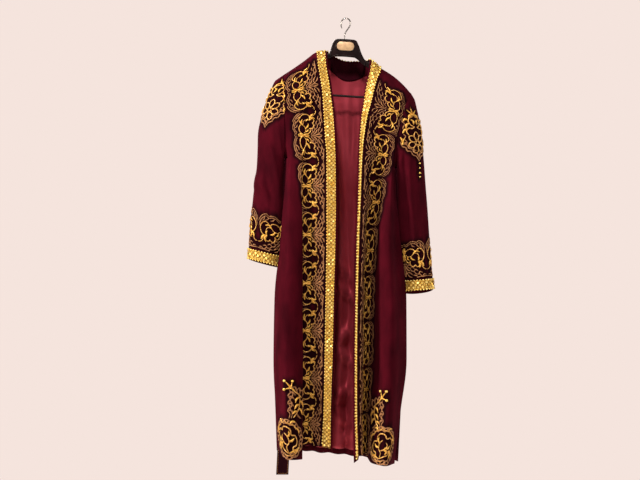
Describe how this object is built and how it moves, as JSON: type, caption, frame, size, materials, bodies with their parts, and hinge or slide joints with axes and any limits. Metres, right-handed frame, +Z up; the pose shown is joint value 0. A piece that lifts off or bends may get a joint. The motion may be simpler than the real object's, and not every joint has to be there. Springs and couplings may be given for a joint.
{
  "type": "uzbek chapan robe on a hanger",
  "caption": "Open-fronted burgundy velvet robe with gold braid and embroidery, red satin lining and its belt, hanging on a black suit hanger.",
  "frame": {"origin": "inside of the top of the hanger's hook, where a peg or rail holds it", "axes": "+Z up, -Y out of the robe's open front, +X to the right as one looks at the front"},
  "size_m": [0.5686, 0.1491, 1.4048],
  "materials": {
    "velvet": "napped velvet",
    "facing_velvet": "napped velvet",
    "satin": "satin",
    "gold_braid": "metallic thread",
    "gold_cord": "metallic thread",
    "tan_stitching": "silk thread",
    "black_plastic": "satin",
    "steel_wire": "polished",
    "badge_plate": "satin"
  },
  "bodies": {
    "root": {"hanger_body": "black_plastic", "hanger_badge": "badge_plate", "hanger_bar": "black_plastic", "hanger_hook": "steel_wire", "front_right": "velvet", "front_left": "velvet", "back_panel": "velvet", "back_lining": "satin", "neck_facing": "facing_velvet", "sleeve_right": "velvet", "sleeve_left": "velvet", "braid_front_right": "gold_braid", "braid_front_left": "gold_braid", "braid_neck": "gold_braid", "braid_cuff_right": "gold_braid", "braid_cuff_left": "gold_braid", "belt": "velvet", "belt_loop_right": "velvet", "belt_loop_left": "velvet"}
  },
  "joints": []
}
